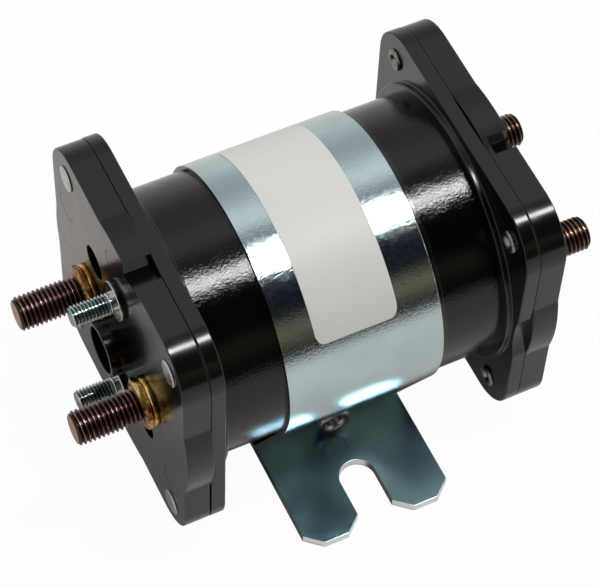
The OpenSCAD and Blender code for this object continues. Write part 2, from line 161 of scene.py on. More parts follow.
def to_near_end(obj):
    """Mirrors a finished shape from the far end to the near one."""
    pick_only(obj)
    obj.scale = (-1, 1, 1)
    bpy.ops.object.transform_apply(location=False, rotation=False, scale=True)
    bpy.ops.object.mode_set(mode="EDIT")
    bpy.ops.mesh.select_all(action="SELECT")
    bpy.ops.mesh.normals_make_consistent(inside=False)
    bpy.ops.object.mode_set(mode="OBJECT")


def twin(obj, move=(0, 0, 0)):
    """A copy with its own mesh, moved by a vector."""
    other = obj.copy()
    other.data = obj.data.copy()
    bpy.context.collection.objects.link(other)
    shift(other, move)
    return other


def gather(pieces):
    pick_only(pieces[0])
    for piece in pieces[1:]:
        piece.select_set(True)
    bpy.ops.object.join()
    return bpy.context.object


def apply_modifier(obj, kind, **values):
    modifier = obj.modifiers.new(kind.title(), kind)
    for key, value in values.items():
        setattr(modifier, key, value)
    pick_only(obj)
    bpy.ops.object.modifier_apply(modifier=modifier.name)


def combine(obj, tool, how):
    """Adds, cuts or intersects with a tool shape, which is used up."""
    apply_modifier(obj, "BOOLEAN", operation=how, object=tool, solver="EXACT")
    bpy.data.objects.remove(tool, do_unlink=True)


def soften(obj, width, segments, angle):
    """Rounds the edges that are sharper than an angle in degrees."""
    apply_modifier(
        obj, "BEVEL", width=width, segments=segments,
        limit_method="ANGLE", angle_limit=math.radians(angle),
    )


def hand_over(obj, name, finish, node, slot, smooth=35, level=True):
    """Brings a shape to the frame's metres and hands it over in place of a CAD node."""
    pick_only(obj)
    obj.scale = (MM, MM, MM)
    obj.location = (0, 0, AXIS_HEIGHT * MM)
    bpy.ops.object.transform_apply(location=True, rotation=True, scale=True)
    bpy.ops.object.shade_smooth_by_angle(angle=math.radians(smooth))
    if level:
        apply_modifier(obj, "WEIGHTED_NORMAL", keep_sharp=True)
    obj.name = name
    obj.data.name = name
    obj.data.materials.clear()
    obj.data.materials.append(finish)
    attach(obj, "frame")
    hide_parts(node)


# Finishes

class Finish:
    """A node material with the few nodes that every finish here starts from."""

    def __init__(self, name):
        self.material = bpy.data.materials.new(name)
        self.material.use_nodes = True
        self.tree = self.material.node_tree
        self.shader = self.tree.nodes["Principled BSDF"]
        self.source = self.add("ShaderNodeTexCoord")
        self.where = self.source.outputs["Object"]

    def add(self, kind, **values):
        node = self.tree.nodes.new(kind)
        for key, value in values.items():
            setattr(node, key, value)
        return node

    def join(self, out, into):
        self.tree.links.new(out, into)

    def fixed(self, **values):
        names = {"metal": "Metallic", "ior": "IOR", "specular": "Specular IOR Level"}
        for key, value in values.items():
            self.shader.inputs[names[key]].default_value = value

    def grain(self, scale, detail=3.0, rough=0.55, stretch=(1, 1, 1)):
        """Cloudy noise; a higher scale is finer."""
        spot = self.where
        if stretch != (1, 1, 1):
            mapping = self.add("ShaderNodeMapping")
            mapping.inputs["Scale"].default_value = stretch
            self.join(self.where, mapping.inputs["Vector"])
            spot = mapping.outputs["Vector"]
        noise = self.add("ShaderNodeTexNoise")
        noise.inputs["Scale"].default_value = scale
        noise.inputs["Detail"].default_value = detail
        noise.inputs["Roughness"].default_value = rough
        self.join(spot, noise.inputs["Vector"])
        return noise.outputs["Fac"]

    def ramp(self, value, stops):
        """Turns a value into colours, by stops of (value, colour)."""
        node = self.add("ShaderNodeValToRGB")
        points = node.color_ramp.elements
        while len(points) < len(stops):
            points.new(0.5)
        for point, (value_there, colour) in zip(points, stops):
            point.position = value_there
            point.color = (*colour, 1)
        self.join(value, node.inputs["Fac"])
        return node.outputs["Color"]

    def span(self, value, low, high, to_low, to_high):
        """Maps one range of a value onto another."""
        node = self.add("ShaderNodeMapRange")
        limits = {"From Min": low, "From Max": high, "To Min": to_low, "To Max": to_high}
        for key, number in limits.items():
            node.inputs[key].default_value = number
        self.join(value, node.inputs["Value"])
        return node.outputs["Result"]

    def calc(self, a, b, how="ADD"):
        """One step of arithmetic on two sockets or numbers."""
        node = self.add("ShaderNodeMath", operation=how)
        for socket, value in zip(node.inputs, (a, b)):
            if isinstance(value, (int, float)):
                socket.default_value = value
            else:
                self.join(value, socket)
        return node.outputs["Value"]

    def blend(self, factor, colour_a, colour_b):
        node = self.add("ShaderNodeMix", data_type="RGBA")
        self.join(factor, node.inputs["Factor"])
        for name, colour in (("A", colour_a), ("B", colour_b)):
            sockets = [s for s in node.inputs if s.name == name and s.type == "RGBA"]
            if isinstance(colour, tuple):
                sockets[0].default_value = (*colour, 1)
            else:
                self.join(colour, sockets[0])
        return [s for s in node.outputs if s.type == "RGBA"][0]

    def colour_from(self, socket):
        self.join(socket, self.shader.inputs["Base Color"])

    def roughness_from(self, value, low, high):
        """Lets the roughness follow the middle of a grain's range."""
        self.join(self.span(value, 0.3, 0.7, low, high), self.shader.inputs["Roughness"])

    def bump_from(self, *layers):
        """Stacks bumps, each given as (height, strength, depth in metres)."""
        normal = None
        for value, strength, depth in layers:
            bump = self.add("ShaderNodeBump")
            bump.inputs["Strength"].default_value = strength
            bump.inputs["Distance"].default_value = depth
            self.join(value, bump.inputs["Height"])
            if normal:
                self.join(normal, bump.inputs["Normal"])
            normal = bump.outputs["Normal"]
        self.join(normal, self.shader.inputs["Normal"])

    def size_along(self, vector, axis, low, high):
        """Rises from 0 to 1 with the size of a vector's part along an axis."""
        parts = self.add("ShaderNodeSeparateXYZ")
        self.join(vector, parts.inputs["Vector"])
        return self.span(self.calc(parts.outputs[axis], 0, "ABSOLUTE"), low, high, 0, 1)

    def facing(self, axis, low, high):
        """Rises from 0 to 1 as the surface turns to face along an axis, either way."""
        return self.size_along(self.source.outputs["Normal"], axis, low, high)

    def beyond(self, axis, low, high):
        """Rises from 0 to 1 between two distances from the part's middle, in metres."""
        return self.size_along(self.where, axis, low, high)

    def radius_from(self, y, z):
        """Distance in metres from the lines along X at y and z either side of the can's axis."""
        parts = self.add("ShaderNodeSeparateXYZ")
        self.join(self.where, parts.inputs["Vector"])
        side = self.calc(self.calc(parts.outputs["Y"], 0, "ABSOLUTE"), y, "SUBTRACT")
        lift = self.calc(parts.outputs["Z"], AXIS_HEIGHT * MM, "SUBTRACT")
        rise = self.calc(self.calc(lift, 0, "ABSOLUTE"), z, "SUBTRACT")
        squares = [self.calc(leg, leg, "MULTIPLY") for leg in (side, rise)]
        return self.calc(self.calc(*squares), 0.5, "POWER")


def gloss_enamel():
    """The can's black paint: deep gloss with a fine orange peel."""
    f = Finish("gloss_black_enamel")
    f.fixed(ior=1.43)
    tones = [(0.35, (0.0012, 0.0012, 0.0016)), (0.7, (0.0022, 0.0021, 0.0024))]
    f.colour_from(f.ramp(f.grain(60), tones))
    f.roughness_from(f.grain(420, 4), 0.06, 0.11)
    f.bump_from((f.grain(1900, 3, 0.6), 0.5, 0.0001), (f.grain(160, 2), 0.2, 0.0004))
    return f.material


def phenolic():
    """Black moulding compound, a little duller and browner than the paint."""
    f = Finish("black_phenolic")
    f.fixed(ior=1.44)
    tones = [(0.3, (0.0026, 0.0024, 0.0024)), (0.7, (0.0042, 0.0038, 0.0036))]
    f.colour_from(f.ramp(f.grain(90, 4), tones))
    f.roughness_from(f.grain(260, 4), 0.14, 0.21)
    f.bump_from((f.grain(1300, 3), 0.06, 0.0001), (f.grain(60, 2), 0.1, 0.0005))
    return f.material


def strap_finish():
    """Bright zinc with a fine dull speckle; the edges facing along X are painted dark, as painted
    shade for the dark surroundings they reflect.
    """
    f = Finish("strap_zinc")
    f.fixed(metal=1.0)
    face = f.ramp(f.grain(70, 4), [(0.3, (0.45, 0.56, 0.585)), (0.7, (0.54, 0.65, 0.67))])
    # Faces turned along X are painted near black: painted shade, not a colour of the zinc
    f.colour_from(f.blend(f.facing("X", 0.6, 0.85), face, (0.05, 0.047, 0.035)))
    f.roughness_from(f.grain(900, 3, 0.6), 0.08, 0.15)
    f.bump_from((f.grain(2100, 3, 0.65), 0.5, 0.0001), (f.grain(110, 2), 0.12, 0.0004))
    return f.material


def plate_finish():
    """Blue-white zinc with clouds; the ends facing along Y carry a painted reflection of the pale
    floor, and the long edges facing along X are painted dark as painted shade.
    """
    f = Finish("plate_zinc")
    f.fixed(metal=1.0)
    face = f.ramp(f.grain(55, 2, 0.5), [
        (0.34, (0.20, 0.34, 0.43)), (0.5, (0.31, 0.49, 0.58)), (0.66, (0.45, 0.64, 0.72)),
    ])
    # The Y-facing ends are painted near white: a painted reflection of the bright floor in front
    ends = f.blend(f.facing("Y", 0.3, 0.6), face, (0.86, 0.88, 0.88))
    # The X-facing long edges are painted near black: painted shade
    f.colour_from(f.blend(f.facing("X", 0.7, 0.9), ends, (0.07, 0.075, 0.06)))
    f.roughness_from(f.grain(60, 2, 0.5), 0.22, 0.34)
    f.bump_from((f.grain(1700, 3, 0.65), 0.3, 0.0001), (f.grain(90, 2), 0.2, 0.0004))
    return f.material


def dark_sleeve():
    """Thin dark sheet between the can and the strap."""
    f = Finish("dark_sleeve")
    tones = [(0.3, (0.002, 0.002, 0.002)), (0.8, (0.005, 0.005, 0.005))]
    f.colour_from(f.ramp(f.grain(800, 4), tones))
    f.fixed(ior=1.52)
    f.roughness_from(f.grain(500), 0.09, 0.15)
    f.bump_from((f.grain(1900, 3, 0.6), 0.45, 0.0001))
    return f.material


def label_film():
    """Satin pale film."""
    f = Finish("label_film")
    f.fixed(ior=1.45, specular=0.4)
    tones = [(0.3, (0.575, 0.59, 0.545)), (0.7, (0.61, 0.62, 0.58))]
    f.colour_from(f.ramp(f.grain(45, 3), tones))
    f.roughness_from(f.grain(700), 0.42, 0.52)
    f.bump_from((f.grain(1400, 3), 0.08, 0.0001))
    return f.material


def patina_copper(name, groove, flank, shine, crest_highlight_colour, tip):
    """Copper gone brown, darker in the grooves, with a painted highlight along the thread's crests;
    the cut tip is paler.
    """
    f = Finish(name)
    f.fixed(metal=1.0)
    # The colour brightens toward the thread's crests: a painted highlight
    crest_highlight = f.span(f.radius_from(MAIN_Y * MM, 0), 0.0035, 0.00396, 0, 1)
    patch = f.grain(420, 4, 0.6)
    tone = f.calc(f.calc(crest_highlight, 0.5, "MULTIPLY"), f.calc(patch, 0.6, "MULTIPLY"))
    tip_plane = MAIN_TIP * MM
    side = f.ramp(tone, [(0.2, groove), (0.5, flank), (0.74, shine), (0.95, crest_highlight_colour)])
    end = f.ramp(f.grain(900, 3), [(0.3, tip), (0.7, tuple(0.7 * c for c in tip))])
    f.colour_from(f.blend(f.beyond("X", tip_plane - 0.00015, tip_plane - 0.00005), side, end))
    f.roughness_from(patch, 0.36, 0.24)
    f.bump_from((f.grain(2600, 3), 0.25, 0.0001))
    return f.material


def tarnished_brass():
    """Yellow on the sides, browner and pinker on the flat faces."""
    f = Finish("tarnished_brass")
    f.fixed(metal=1.0)
    patch = f.grain(260, 4, 0.6)
    side = f.ramp(patch, [
        (0.3, (0.13, 0.045, 0.014)), (0.44, (0.40, 0.18, 0.045)),
        (0.54, (0.82, 0.46, 0.12)), (0.66, (1.0, 0.76, 0.32)),
    ])
    flat = f.ramp(patch, [
        (0.3, (0.10, 0.045, 0.03)), (0.5, (0.28, 0.15, 0.10)), (0.72, (0.52, 0.31, 0.21)),
    ])
    f.colour_from(f.blend(f.facing("X", 0.8, 0.95), side, flat))
    f.roughness_from(f.grain(500), 0.2, 0.34)
    f.bump_from((f.grain(1500, 3), 0.5, 0.0001), (f.grain(500, 2), 0.4, 0.0002))
    return f.material


def rivet_finish():
    """Plated heads outside; the rolled tails inside are painted dark grey, as painted shade for the
    dark surroundings they reflect.
    """
    f = Finish("rivet_steel")
    f.fixed(metal=1.0)
    head = f.ramp(f.grain(320, 4, 0.6), [(0.3, (0.40, 0.41, 0.40)), (0.7, (0.58, 0.59, 0.57))])
    # Closer than 36 mm to the middle along X, at the tails, the colour is a flat dark grey: painted
    # shade
    f.colour_from(f.blend(f.beyond("X", 0.036, 0.037), (0.22, 0.21, 0.20), head))
    f.roughness_from(f.grain(800, 3, 0.6), 0.22, 0.34)
    f.bump_from((f.grain(1600, 3, 0.6), 0.2, 0.0001))
    return f.material


def plated_stud():
    """Zinc plate on the coil studs, with painted shade in the grooves and a painted highlight on
    the crests.
    """
    f = Finish("stud_zinc")
    f.fixed(metal=1.0)
    # Dark in the grooves and pale on the crests: painted shade and painted highlight
    crest_highlight = f.span(f.radius_from(0, COIL_Z * MM), 0.0019, 0.0024, 0, 1)
    tone = f.calc(f.calc(crest_highlight, 0.5, "MULTIPLY"), f.calc(f.grain(500, 4), 0.5, "MULTIPLY"))
    f.colour_from(f.ramp(tone, [(0.2, (0.10, 0.14, 0.15)), (0.8, (0.70, 0.80, 0.80))]))
    f.roughness_from(f.grain(800), 0.14, 0.26)
    f.bump_from((f.grain(2400, 3), 0.2, 0.0001))
    return f.material


def mottled(name, dark, light, metal, rough, scale, bump=0.2, stretch=(1, 1, 1)):
    """A plain finish between two tones, whose grain a part can stretch along its length."""
    f = Finish(name)
    f.fixed(metal=metal, ior=1.5)
    spot = f.grain(scale, 4, 0.6, stretch)
    f.colour_from(f.ramp(spot, [(0.3, dark), (0.7, light)]))
    f.roughness_from(f.grain(scale * 2.5, 3, 0.6, stretch), *rough)
    f.bump_from((f.grain(scale * 5, 3, 0.6, stretch), bump, 0.0001))
    return f.material


def wound_wire():
    """Many turns of enamelled wire, as bands across the coil."""
    f = Finish("enamelled_winding")
    f.fixed(metal=0.85)
    wave = f.add("ShaderNodeTexWave", wave_type="BANDS", bands_direction="X")
    wave.inputs["Scale"].default_value = 620
    wave.inputs["Distortion"].default_value = 0.6
    f.join(f.where, wave.inputs["Vector"])
    turns = wave.outputs["Fac"]
    f.colour_from(f.ramp(turns, [(0.1, (0.16, 0.05, 0.02)), (0.7, (0.62, 0.27, 0.11))]))
    f.roughness_from(f.grain(300), 0.25, 0.4)
    f.bump_from((turns, 0.7, 0.0003))
    return f.material


enamel = gloss_enamel()
black_moulding = phenolic()
strap_zinc = strap_finish()
plate_zinc = plate_finish()
sleeve = dark_sleeve()
film = label_film()
near_copper = patina_copper(
    "near_stud_copper", (0.022, 0.010, 0.009), (0.075, 0.035, 0.030), (0.20, 0.11, 0.095),
    (0.62, 0.48, 0.43), (0.34, 0.22, 0.12),
)
# The far studs get a lighter copy of the near studs' copper: painted light for the brighter
# surroundings they reflect
far_copper_painted_lighter = patina_copper(
    "far_stud_copper_painted_lighter", (0.030, 0.018, 0.012), (0.12, 0.072, 0.050), (0.28, 0.19, 0.14),
    (0.66, 0.56, 0.48), (0.34, 0.22, 0.12),
)
brass = tarnished_brass()
stud_zinc = plated_stud()
washer_zinc = mottled(
    "washer_zinc", (0.50, 0.51, 0.48), (0.66, 0.67, 0.63), 1.0, (0.16, 0.26), 260,
)
rivet_steel = rivet_finish()
rolled_steel = mottled(
    "rolled_steel", (0.22, 0.20, 0.19), (0.46, 0.44, 0.42), 1.0, (0.25, 0.4), 400,
)
fibre_black = mottled(
    "fibre_black", (0.012, 0.011, 0.010), (0.035, 0.03, 0.026), 0.0, (0.3, 0.5), 500,
)


# Shapes

def arc(radius, start, end, count, cy=0.0, cz=0.0):
    """Points (y, z) on an arc; angles in degrees from +Z toward +Y."""
    points = []
    for i in range(count + 1):
        a = math.radians(start + (end - start) * i / count)
        points.append((cy + radius * math.sin(a), cz + radius * math.cos(a)))
    return points


def at_x(points, x):
    return [(x, y, z) for y, z in points]


def end_block(half, dy, dz, x0, x1):
    """A square block with round corners and soft rims, set a little off the axis."""
    points = []
    middle = half - CORNER_R
    for start, sy, sz in ((0, 1, 1), (90, 1, -1), (180, -1, -1), (270, -1, 1)):
        points += arc(CORNER_R, start, start + 90, 16, sy * middle, sz * middle)
    obj = slab(at_x([(y + dy, z + dz) for y, z in points], x0), (x1 - x0, 0, 0))
    soften(obj, RIM, 3, 60)
    return obj


def corners():
    """The four rivet places, as (y, z)."""
    return [(side * RIVET_AT, up * RIVET_AT) for side in (-1, 1) for up in (-1, 1)]


def pair_along(one, move):
    """Sets a piece at -move and its copy at +move, and joins them."""
    other = twin(one, move)
    shift(one, tuple(-m for m in move))
    return gather([one, other])


def rod(radius, x0, x1, y=0.0, z=0.0, steps=64):
    return turned([(x0, 0), (x0, radius), (x1, radius), (x1, 0)], steps, y, z)


def round_rim(radius, x0, x1, edge, steps):
    """A disc whose two rims are rounded over."""
    quarter = ((0, 1), (0.07, 0.62), (0.29, 0.29), (0.62, 0.07), (1, 0))
    soft = [(dx * edge, dr * edge) for dx, dr in quarter]
    profile = [(x0, 0)] + [(x0 + dx, radius - dr) for dx, dr in soft]
    profile += [(x1 - dx, radius - dr) for dx, dr in reversed(soft)] + [(x1, 0)]
    return turned(profile, steps)


def drill(radius, x0, mouth, y, z, edge, steps=64):
    """A cutter for a hole whose mouth is broken by a small chamfer."""
    past = 0.8
    profile = [(x0, 0), (x0, radius), (mouth - edge, radius),
               (mouth + past, radius + past + edge), (mouth + past, 0)]
    return turned(profile, steps, y, z)


def block(low, high):
    """A box between two corners."""
    outline = [(low[0], low[1], low[2]), (low[0], high[1], low[2]),
               (low[0], high[1], high[2]), (low[0], low[1], high[2])]
    return slab(outline, (high[0] - low[0], 0, 0))


def notch(middle, width, floor_in, floor_out, x0, side):
    """A prism that cuts an edge notch whose floor rises toward the notch's outer wall."""
    inner, outer = middle + width / 2, middle - width / 2
    outline = [(inner, 40), (inner, floor_in), (outer, floor_out), (outer, 40)]
    return slab([(x0, side * y, side * z) for y, z in outline], (FACE_X + 1 - x0, 0, 0))


def housing(near):
    """Outer moulding: square with soft corners, a round bulge, boss, vents and notches."""
    half, bulge = 34.85, 36.1
    vent_y, vent_z, vent_r, vent_deep = 13.1, 13.5, 4.05, 5.0
    cup_wall, cup_deep = 1.6, 3.4
    boss_r, boss_h, hole_r, hole_deep = 6.5, 4.7, 5.55, 1.9
    # The cutters start and end a little past the faces
    under, over = SEAM_X - 1, FACE_X + 1
    shell = end_block(half, 0.6 if near else -0.1, 0.2, SEAM_X, FACE_X)
    combine(shell, round_rim(bulge, SEAM_X, FACE_X, RIM, 240), "UNION")
    for side in (-1, 1):
        if near:
            cut = notch(-6.93, width=5.95, floor_in=32.2, floor_out=33.6, x0=under, side=side)
        else:
            cut = notch(-8.0, width=4.4, floor_in=32.0, floor_out=33.3, x0=SEAM_X + 1.2, side=side)
        combine(shell, cut, "DIFFERENCE")
    combine(shell, round_rim(boss_r, FACE_X - 1, FACE_X + boss_h, 0.28, 96), "UNION")
    combine(shell, rod(CHAMBER_R, under, ROOF_X, steps=96), "DIFFERENCE")
    for side in (-1, 1):
        # The blind vents stand into the chamber as cups
        cup = rod(
            vent_r + cup_wall, ROOF_X - cup_deep, ROOF_X + 0.5, side * vent_y, side * vent_z,
        )
        combine(shell, cup, "UNION")
    hole = drill(hole_r, FACE_X - hole_deep, FACE_X + boss_h, 0, 0, 0.18, 96)
    combine(shell, hole, "DIFFERENCE")
    for side in (-1, 1):
        vent = drill(vent_r, FACE_X - vent_deep, FACE_X, side * vent_y, side * vent_z, 0.12)
        combine(shell, vent, "DIFFERENCE")
        combine(shell, rod(MAIN_HOLE, under, over, side * MAIN_Y, 0), "DIFFERENCE")
    for y, z in corners():
        combine(shell, rod(RIVET_HOLE, under, over, y, z, 32), "DIFFERENCE")
    if near:
        # Shallow rings that the mould's ejector pins leave
        for y, z, r in ((28.55, 14.76, 3.5), (-26.8, -18.4, 3.6), (2.25, 27.1, 3.5)):
            combine(shell, rod(r, FACE_X - 0.14, over, y, z), "DIFFERENCE")
            combine(shell, rod(r - 0.13, FACE_X - 0.5, FACE_X - 0.02, y, z), "UNION")
        for up in (-1, 1):
            combine(shell, rod(COIL_HOLE, under, over, 0, up * COIL_Z, 48), "DIFFERENCE")
        # The joint stands open a little at one lower corner
        gap = block((under, -36, -36), (SEAM_X + 0.42, -29, -11.8))
        combine(shell, gap, "DIFFERENCE")
    return shell


def inner_plate(near):
    """Inner moulding: a soft-cornered plate, a collar round the can and a cup inside it."""
    half, relief_r, relief_y, relief_z = 34.9, 29, 63.1, -0.8
    # The cutters start and end a little past the faces
    under, over = HALF_CAN - 1, SEAM_X + 1
    plate = end_block(half, 0.6 if near else -0.1, 0.3, HALF_CAN, SEAM_X)
    combine(plate, rod(CHAMBER_R, under, over, steps=96), "DIFFERENCE")
    if not near:
        # Shallow reliefs in both sides, beside the outer moulding's bulge
        for side in (-1, 1):
            relief = rod(relief_r, under, over, side * relief_y, relief_z, 160)
            combine(plate, relief, "DIFFERENCE")
    collar = turned([
        (37.0, CHAMBER_R), (27.8, CHAMBER_R), (27.8, 4.0), (25.8, 4.0), (25.8, 29.63),
        (HALF_CAN, 29.63), (HALF_CAN, 30.75), (33.4, 30.75), (33.4, 32.55), (33.45, 32.75),
        (33.57, 32.88), (33.75, 32.94), (34.45, 32.98), (34.62, 33.02), (34.74, 33.12),
        (34.8, 33.3), (37.0, 33.3),
    ], 160, ring=True)
    combine(plate, collar, "UNION")
    for y, z in corners():
        combine(plate, rod(RIVET_HOLE, under, over, y, z, 32), "DIFFERENCE")
    return plate


def end_rivets():
    """Tubular rivets: a low formed head outside, a rolled tail inside."""
    head, tail, shank_r = FACE_X, HALF_CAN, 1.68
    one = turned([
        (tail + 1.9, 0), (tail - 0.1, 0.95), (tail - 0.5, 1.3), (tail - 0.72, 1.6),
        (tail - 0.8, 1.9), (tail - 0.72, 2.22), (tail - 0.5, 2.48), (tail - 0.2, 2.6),
        (tail, 2.5), (tail, shank_r), (head, shank_r), (head, 3.05), (head + 0.2, 3.1),
        (head + 0.33, 3.0), (head + 0.41, 2.75), (head + 0.45, 2.2), (head + 0.45, 0),
    ], 48)
    pieces = [twin(one, (0, y, z)) for y, z in corners()]
    bpy.data.objects.remove(one, do_unlink=True)
    return gather(pieces)


def threaded_rod(pitch, major, minor, x0, x1, chamfer, steps=44):
    """A right-hand thread from x0 to x1, cut to length, with a chamfered tip."""
    start = x0 - 2 * pitch
    profile = [(0, minor), (0.06, minor), (0.40, major - 0.05), (0.44, major),
               (0.52, major), (0.56, major - 0.05), (0.9, minor), (1.0, minor)]
    rod_body = draw_path([(start + u * pitch, 0, r) for u, r in profile])
    bpy.ops.object.mode_set(mode="OBJECT")
    bpy.ops.object.transform_apply(location=True, rotation=True, scale=True)
    turns = math.ceil((x1 - x0) / pitch) + 4
    apply_modifier(
        rod_body, "SCREW", axis="X", angle=2 * math.pi, screw_offset=pitch, iterations=turns,
        steps=steps, render_steps=steps, use_merge_vertices=True, merge_threshold=0.001,
    )
    bpy.ops.object.mode_set(mode="EDIT")
    for spot, way in ((x0, -1), (x1, 1)):
        bpy.ops.mesh.select_all(action="SELECT")
        bpy.ops.mesh.bisect(
            plane_co=(spot, 0, 0), plane_no=(way, 0, 0), use_fill=True, clear_outer=True,
        )
    bpy.ops.mesh.select_all(action="SELECT")
    bpy.ops.mesh.remove_doubles(threshold=0.001)
    bpy.ops.mesh.normals_make_consistent(inside=False)
    bpy.ops.object.mode_set(mode="OBJECT")
    envelope = turned([
        (x0 - 1, 0), (x0 - 1, major + 1), (x1 - chamfer - 1, major + 1),
        (x1, major - chamfer), (x1, 0),
    ], 64)
    combine(rod_body, envelope, "INTERSECT")
    return rod_body


def main_studs():
    """A long thread, a plain neck through the moulding and a head in the chamber."""
    pitch, major, minor, neck = 1.058, 3.97, 3.36, 3.6
    thread = threaded_rod(pitch, major, minor, 46.9, MAIN_TIP, 0.75)
    inner = turned([
        (38.3, 0), (38.3, 6.2), (38.5, 6.4), (41.1, 6.4), (ROOF_X, 6.2),
        (ROOF_X, neck), (47.1, neck), (47.1, 0),
    ], 64)
    return pair_along(gather([thread, inner]), (0, MAIN_Y, 0))


def jam_nuts():
    """Thin hexagon nuts, a corner of each 20 degrees off level, well chamfered outside."""
    low, high, flats, bore_r = NUT_LOW, NUT_HIGH, 11.1, 3.63
    radius = flats / math.sqrt(3)
    turns = [math.radians(60 * i + 20) for i in range(6)]
    hexagon = [(low, radius * math.cos(a), radius * math.sin(a)) for a in turns]
    nut = slab(hexagon, (high - low, 0, 0))
    envelope = turned([
        (low - 0.1, 0), (low - 0.1, 5.3), (low + 0.5, 6.1),
        (high - 0.7, 6.1), (high, 5.0), (high, 0),
    ], 96)
    combine(nut, envelope, "INTERSECT")
    bore = turned([
        (low - 1, 0), (low - 1, bore_r), (high - 0.75, bore_r),
        (high + 0.1, 4.5), (high + 0.1, 0),
    ], 64)
    combine(nut, bore, "DIFFERENCE")
    soften(nut, 0.1, 2, 25)
    return pair_along(nut, (0, MAIN_Y, 0))


def nut_washers():
    """Thick round washers under the nuts, their edges rolled by the blanking."""
    low, high, bore_r = FACE_X, NUT_LOW, 4.27
    one = turned([
        (low, bore_r), (low, 5.6), (low + 0.1, 5.75), (low + 0.3, 5.8), (high - 0.45, 5.8),
        (high - 0.18, 5.7), (high - 0.04, 5.5), (high, 5.2), (high, 4.4), (high - 0.1, bore_r),
    ], 72, ring=True)
    return pair_along(one, (0, MAIN_Y, 0))


def coil_studs():
    """A short thread, a plain shoulder over the washer and a head in the chamber."""
    pitch, major, minor, neck = 0.794, 2.41, 1.9, 2.14
    thread = threaded_rod(pitch, major, minor, 47.0, 55.5, 0.5, 36)
    shank = turned([
        (39.9, 0), (39.9, 3.4), (40.1, 3.6), (41.1, 3.6), (ROOF_X, 3.4), (ROOF_X, neck),
        (WASHER_TOP, neck), (WASHER_TOP, 2.36), (46.7, 2.36), (47.1, 1.98), (47.1, 0),
    ], 48)
    return pair_along(gather([thread, shank]), (0, 0, COIL_Z))


def disc_pair(x0, x1, outer, edge):
    """Two flat rings with broken edges, one round each coil stud, at the near end."""
    one = turned([
        (x0, COIL_HOLE), (x0, outer - edge), (x0 + edge, outer),
        (x1 - edge, outer), (x1, outer - edge), (x1, COIL_HOLE),
    ], 72, ring=True)
    discs = pair_along(one, (0, 0, COIL_Z))
    to_near_end(discs)
    return discs


def strap():
    """The band: round the can, down two tangent legs and across the foot."""
    circle = arc(STRAP_R, -LEG_DEG, LEG_DEG, 150)
    outline = circle + [(FOOT_Y, PLATE_TOP), (-FOOT_Y, PLATE_TOP)]
    # Rows across the band, closer together toward its edges
    rows = (-18.5, -18.2, -17.4, -9, 0, 9, 17.4, 18.2, 18.5)
    band = draw_path(at_x(outline, rows[0]), closed=True)
    for a, b in zip(rows, rows[1:]):
        bpy.ops.mesh.extrude_edges_move(TRANSFORM_OT_translate={"value": (b - a, 0, 0)})
    close_up()
    apply_modifier(band, "SOLIDIFY", thickness=STRAP_T, offset=-1, use_even_offset=True)
    # Both legs give way a little to the rolled ends of the rivet
    seat_r, seat_y, past = 4.17, 19.2, 30
    for side in (-1, 1):
        seat = rod(seat_r, seat_y, past)
        turn_round(seat, "z", side * 90)
        shift(seat, (0, 0, CROSS_RIVET_Z))
        combine(band, seat, "DIFFERENCE")
    soften(band, 0.16, 2, 50)
    return band


def base_plate():
    """Flat plate with an open slot and two cut corners to each prong."""
    half_w, half_l, slot_r, slot_y = 18.3, 43.9, 4.35, 31.55
    cut, deep, steps = 4.0, 3.5, 32
    prong = [(half_w, half_l - deep), (half_w - cut, half_l),
             (slot_r + cut, half_l), (slot_r, half_l - deep)]
    side = list(prong)
    for i in range(steps + 1):
        a = math.pi * i / steps
        side.append((slot_r * math.cos(a), slot_y - slot_r * math.sin(a)))
    side += [(-x, y) for x, y in reversed(prong)]
    points = [(end * x, end * y, PLATE_TOP - PLATE_T) for end in (1, -1) for x, y in side]
    plate = slab(points, (0, 0, PLATE_T))
    soften(plate, 0.2, 2, 20)
    return plate


def cross_rivet():
    """Tubular rivet through the strap's legs, its ends rolled over."""
    face, bore_r, tube_r = 19.5, 1.9, 2.6
    half = turned([
        (0, bore_r), (face - 1.3, bore_r), (face - 0.7, 2.05), (face - 0.25, 2.5),
        (face, 3.0), (face - 0.05, 3.5), (face - 0.4, 3.95), (face - 0.95, 4.13),
        (face - 1.45, 4.0), (face - 1.7, 3.7), (face - 1.7, tube_r), (0, tube_r),
    ], 64, ring=True)
    other = twin(half)
    to_near_end(other)
    rivet = gather([half, other])
    turn_round(rivet, "z", 90)
    shift(rivet, (0, 0, CROSS_RIVET_Z))
    return rivet


def liner():
    """A thin sleeve between the can and the strap, slit along its seam."""
    near_x, far_x, half_slit, seam_deg = -19.0, 19.8, 1.6, -44
    tube = turned([
        (near_x, CAN_R), (near_x, LINER_R), (far_x - 0.1, LINER_R),
        (far_x, LINER_R - 0.05), (far_x, CAN_R),
    ], 180, ring=True)
    slit = block((-40, -half_slit, 20), (40, half_slit, 40))
    turn_round(slit, "x", seam_deg)
    combine(tube, slit, "DIFFERENCE")
    return tube


